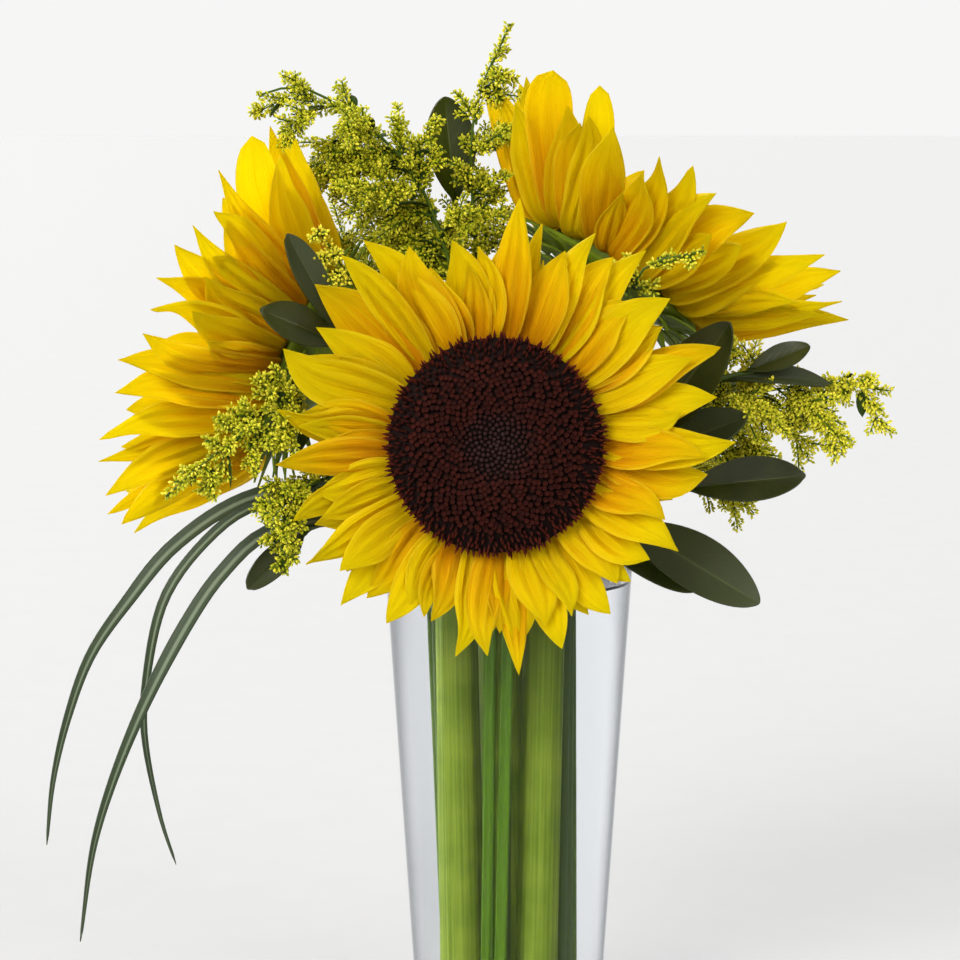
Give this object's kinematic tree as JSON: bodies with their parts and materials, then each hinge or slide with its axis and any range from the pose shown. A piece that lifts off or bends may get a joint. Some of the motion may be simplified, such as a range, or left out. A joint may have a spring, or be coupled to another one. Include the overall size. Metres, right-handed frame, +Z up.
{
  "type": "sunflowers in a glass vase",
  "caption": "Bouquet of large brown-eyed sunflowers with goldenrod, glossy oval leaves and trailing grass, standing in a tapered clear glass vase of water.",
  "frame": {"origin": "the centre of the vase's round foot, on the surface that it stands on", "axes": "+Z up through the vase; the front flower faces -Y, and +X is to the right seen from the front"},
  "size_m": [0.3087, 0.1919, 0.3728],
  "materials": {
    "glass": "polished",
    "water": "gloss",
    "rays": "satin",
    "disc": "matte",
    "stem": "satin",
    "leaf": "satin",
    "goldenrod": "matte",
    "grass": "satin"
  },
  "bodies": {
    "root": {"vase": "glass", "front_flower_stem": "stem", "front_flower_rays": "rays", "front_flower_disc": "disc", "left_flower_stem": "stem", "left_flower_rays": "rays", "left_flower_disc": "disc", "back_flower_stem": "stem", "back_flower_rays": "rays", "back_flower_disc": "disc", "leafy_stem_top": "leaf", "leafy_stem_left": "leaf", "leafy_stem_right": "leaf", "leafy_stem_low_right": "leaf", "leafy_stem_low_left": "leaf", "leafy_stem_back": "leaf", "leafy_stem_back_right": "leaf", "grass_blade_outer": "grass", "grass_blade_thin": "grass", "grass_blade_lower": "grass", "goldenrod_top_left": "goldenrod", "goldenrod_top": "goldenrod", "goldenrod_left": "goldenrod", "goldenrod_low_left": "goldenrod", "goldenrod_right": "goldenrod", "goldenrod_upper_right": "goldenrod", "goldenrod_upper_left": "goldenrod", "goldenrod_back_left": "goldenrod", "goldenrod_back": "goldenrod", "water": "water"}
  },
  "joints": []
}
